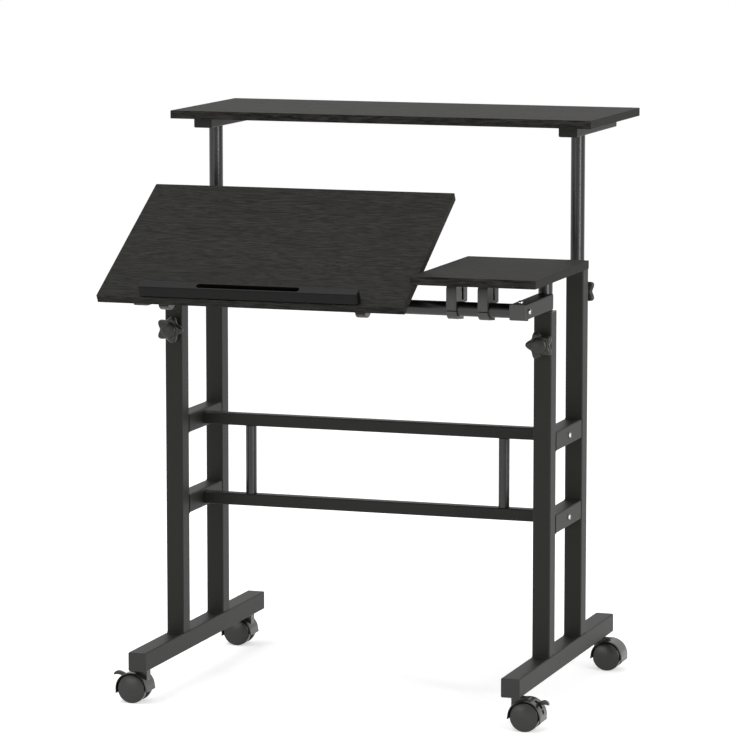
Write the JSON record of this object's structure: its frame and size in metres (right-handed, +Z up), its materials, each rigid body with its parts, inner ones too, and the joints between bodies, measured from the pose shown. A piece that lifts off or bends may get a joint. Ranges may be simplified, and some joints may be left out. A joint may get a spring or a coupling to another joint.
{
  "type": "sit-stand desk",
  "caption": "Rolling sit-stand desk: steel side frames on castors carry a height-adjustable front table with a tilting board and ledge, and a height-adjustable rear shelf.",
  "frame": {"origin": "on the floor under the middle of the whole desk at rest, tilted board and ledge included", "axes": "+Z up, +X to the right of someone who sits at the front, +Y from the front towards the rear shelf"},
  "size_m": [0.816, 0.7154, 1.0473],
  "materials": {
    "laminate": "near-black wood-grain laminate, matt",
    "painted_steel": "satin black powder coat",
    "moulded_plastic": "black moulded plastic, fine matt texture",
    "castor_plastic": "black semi-gloss plastic",
    "bolt_chrome": "polished chrome plate"
  },
  "bodies": {
    "frame": {"left_foot": "painted_steel", "left_front_foot_cap": "moulded_plastic", "left_rear_foot_cap": "moulded_plastic", "left_front_leg": "painted_steel", "left_rear_leg": "painted_steel", "left_front_leg_bush": "moulded_plastic", "left_rear_leg_bush": "moulded_plastic", "left_lower_rail": "painted_steel", "left_lower_rail_bolt": "bolt_chrome", "left_upper_rail": "painted_steel", "left_upper_rail_bolt": "bolt_chrome", "left_strut": "painted_steel", "right_foot": "painted_steel", "right_front_foot_cap": "moulded_plastic", "right_rear_foot_cap": "moulded_plastic", "right_front_leg": "painted_steel", "right_rear_leg": "painted_steel", "right_front_leg_bush": "moulded_plastic", "right_rear_leg_bush": "moulded_plastic", "right_lower_rail": "painted_steel", "right_lower_rail_bolt": "bolt_chrome", "right_upper_rail": "painted_steel", "right_upper_rail_bolt": "bolt_chrome", "right_strut": "painted_steel", "lower_crossbar": "painted_steel", "upper_crossbar": "painted_steel"},
    "front_table": {"left_front_post": "painted_steel", "right_front_post": "painted_steel", "left_table_arm": "painted_steel", "right_table_arm": "painted_steel", "left_arm_bolt": "bolt_chrome", "right_arm_bolt": "bolt_chrome", "table_tube": "painted_steel", "side_board": "laminate", "side_board_inner_clamp": "moulded_plastic", "side_board_outer_clamp": "moulded_plastic"},
    "tilting_top": {"tilting_board": "laminate", "tilting_board_left_clamp": "moulded_plastic", "tilting_board_right_clamp": "moulded_plastic", "ledge": "moulded_plastic"},
    "rear_shelf": {"left_rear_post": "painted_steel", "right_rear_post": "painted_steel", "left_shelf_arm": "painted_steel", "right_shelf_arm": "painted_steel", "shelf_board": "laminate"},
    "left_front_knob": {"left_front_knob": "moulded_plastic"},
    "left_rear_knob": {"left_rear_knob": "moulded_plastic"},
    "right_front_knob": {"right_front_knob": "moulded_plastic"},
    "right_rear_knob": {"right_rear_knob": "moulded_plastic"},
    "left_front_castor": {"left_front_castor_housing": "castor_plastic"},
    "left_front_castor_wheels": {"left_front_castor_wheels": "castor_plastic"},
    "left_brake_lever": {"left_brake_lever": "castor_plastic"},
    "left_rear_castor": {"left_rear_castor_housing": "castor_plastic"},
    "left_rear_castor_wheels": {"left_rear_castor_wheels": "castor_plastic"},
    "right_front_castor": {"right_front_castor_housing": "castor_plastic"},
    "right_front_castor_wheels": {"right_front_castor_wheels": "castor_plastic"},
    "right_brake_lever": {"right_brake_lever": "castor_plastic"},
    "right_rear_castor": {"right_rear_castor_housing": "castor_plastic"},
    "right_rear_castor_wheels": {"right_rear_castor_wheels": "castor_plastic"}
  },
  "joints": [
    {"name": "front_table_lift", "type": "slide", "parent": "frame", "child": "front_table", "axis": [0, 0, 1], "range_m": [0, 0.3]},
    {"name": "top_tilt", "type": "hinge", "parent": "front_table", "child": "tilting_top", "pos_m": [0, -0.24054, 0.735], "axis": [1, 0, 0], "range_deg": [-30.4, 59.6]},
    {"name": "shelf_lift", "type": "slide", "parent": "frame", "child": "rear_shelf", "axis": [0, 0, 1], "range_m": [-0.2, 0.15]},
    {"name": "left_front_knob_turn", "type": "hinge", "parent": "frame", "child": "left_front_knob", "pos_m": [-0.3485, -0.10504, 0.661], "axis": [0, -1, 0], "range_deg": [0, 540]},
    {"name": "left_rear_knob_turn", "type": "hinge", "parent": "frame", "child": "left_rear_knob", "pos_m": [-0.3485, 0.13696, 0.726], "axis": [0, 1, 0], "range_deg": [0, 540]},
    {"name": "right_front_knob_turn", "type": "hinge", "parent": "frame", "child": "right_front_knob", "pos_m": [0.3485, -0.10504, 0.661], "axis": [0, -1, 0], "range_deg": [0, 540]},
    {"name": "right_rear_knob_turn", "type": "hinge", "parent": "frame", "child": "right_rear_knob", "pos_m": [0.3485, 0.13696, 0.726], "axis": [0, 1, 0], "range_deg": [0, 540]},
    {"name": "left_front_castor_swivel", "type": "hinge", "parent": "frame", "child": "left_front_castor", "pos_m": [-0.3485, -0.25604, 0.0595], "axis": [0, 0, 1], "continuous": true},
    {"name": "left_front_castor_roll", "type": "hinge", "parent": "left_front_castor", "child": "left_front_castor_wheels", "pos_m": [-0.368, -0.25604, 0.0265], "axis": [0, 1, 0], "continuous": true},
    {"name": "left_brake", "type": "hinge", "parent": "left_front_castor", "child": "left_brake_lever", "pos_m": [-0.382, -0.25604, 0.047], "axis": [0, -1, 0], "range_deg": [0, 18]},
    {"name": "left_rear_castor_swivel", "type": "hinge", "parent": "frame", "child": "left_rear_castor", "pos_m": [-0.3485, 0.28796, 0.0595], "axis": [0, 0, 1], "continuous": true},
    {"name": "left_rear_castor_roll", "type": "hinge", "parent": "left_rear_castor", "child": "left_rear_castor_wheels", "pos_m": [-0.368, 0.28796, 0.0265], "axis": [0, 1, 0], "continuous": true},
    {"name": "right_front_castor_swivel", "type": "hinge", "parent": "frame", "child": "right_front_castor", "pos_m": [0.3485, -0.25604, 0.0595], "axis": [0, 0, 1], "continuous": true},
    {"name": "right_front_castor_roll", "type": "hinge", "parent": "right_front_castor", "child": "right_front_castor_wheels", "pos_m": [0.368, -0.25604, 0.0265], "axis": [0, 1, 0], "continuous": true},
    {"name": "right_brake", "type": "hinge", "parent": "right_front_castor", "child": "right_brake_lever", "pos_m": [0.382, -0.25604, 0.047], "axis": [0, 1, 0], "range_deg": [0, 18]},
    {"name": "right_rear_castor_swivel", "type": "hinge", "parent": "frame", "child": "right_rear_castor", "pos_m": [0.3485, 0.28796, 0.0595], "axis": [0, 0, 1], "continuous": true},
    {"name": "right_rear_castor_roll", "type": "hinge", "parent": "right_rear_castor", "child": "right_rear_castor_wheels", "pos_m": [0.368, 0.28796, 0.0265], "axis": [0, 1, 0], "continuous": true}
  ]
}
